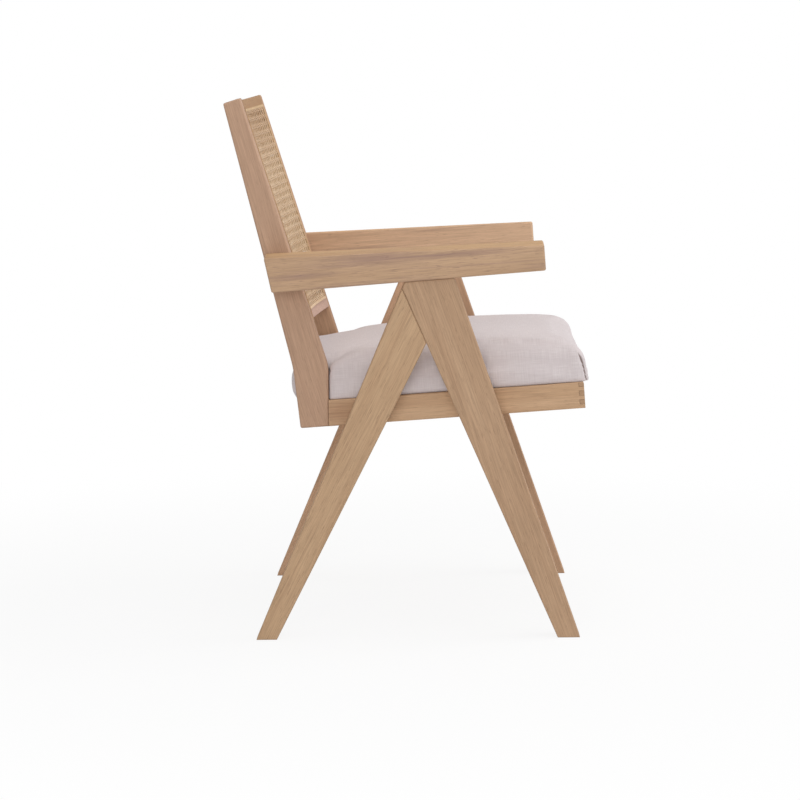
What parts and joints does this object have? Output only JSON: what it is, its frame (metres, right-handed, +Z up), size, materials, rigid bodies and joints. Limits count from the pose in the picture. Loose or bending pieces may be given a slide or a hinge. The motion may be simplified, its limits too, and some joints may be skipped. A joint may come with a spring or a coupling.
{
  "type": "cane armchair",
  "caption": "Wooden armchair with V-shaped leg frames, flat armrests, a curved woven cane back and a loose linen seat cushion notched round the back uprights.",
  "frame": {"origin": "on the floor, in the middle of the chair's overall width and depth", "axes": "+Z up, the seat faces -Y, +X to the sitter's left"},
  "size_m": [0.548, 0.5459, 0.8018],
  "materials": {
    "front_leg_wood": "satin oil",
    "rear_leg_wood": "satin oil",
    "arm_wood": "satin oil",
    "upright_wood": "satin oil",
    "side_rail_wood": "satin oil",
    "cross_rail_wood": "satin oil",
    "back_rail_wood": "satin oil",
    "stile_wood": "satin oil",
    "block_wood": "satin oil",
    "dowel_wood": "satin oil",
    "plywood": "sanded",
    "cane": "woven, natural",
    "spline_reed": "natural",
    "fabric": "plain linen weave",
    "foam": "open cell foam",
    "steel": "zinc plated",
    "brass": "machined"
  },
  "bodies": {
    "frame": {"front_leg_right": "front_leg_wood", "front_leg_left": "front_leg_wood", "rear_leg_right": "rear_leg_wood", "rear_leg_left": "rear_leg_wood", "armrest_right": "arm_wood", "armrest_left": "arm_wood", "back_upright_right": "upright_wood", "back_upright_left": "upright_wood", "seat_side_rail_right": "side_rail_wood", "seat_side_rail_left": "side_rail_wood", "seat_front_rail": "cross_rail_wood", "seat_rear_rail": "cross_rail_wood", "back_top_rail": "back_rail_wood", "back_lower_rail": "back_rail_wood", "back_stile_right": "stile_wood", "back_stile_left": "stile_wood", "front_corner_block_right": "block_wood", "front_corner_block_left": "block_wood", "rear_corner_block_right": "block_wood", "rear_corner_block_left": "block_wood", "front_board_cleat": "block_wood", "rear_board_cleat": "block_wood", "leg_joint_dowels": "dowel_wood", "arm_dowels": "dowel_wood", "side_rail_dowels": "dowel_wood", "rear_rail_dowels": "dowel_wood", "back_rail_dowels": "dowel_wood", "arm_screw_plugs": "dowel_wood", "seat_board": "plywood", "cane_panel": "cane", "cane_spline_top": "spline_reed", "cane_spline_bottom": "spline_reed", "cane_spline_right": "spline_reed", "cane_spline_left": "spline_reed", "arm_screws": "steel", "leg_bolts": "steel", "leg_bolt_washers": "steel", "stile_screws": "steel", "board_screws": "steel", "leg_bolt_inserts": "brass"},
    "cushion": {"cushion_cover": "fabric", "cushion_foam": "foam"}
  },
  "joints": [
    {"name": "cushion_slide", "type": "slide", "parent": "frame", "child": "cushion", "axis": [0, -0.9981, 0.0623], "range_m": [0, 0.45]}
  ]
}
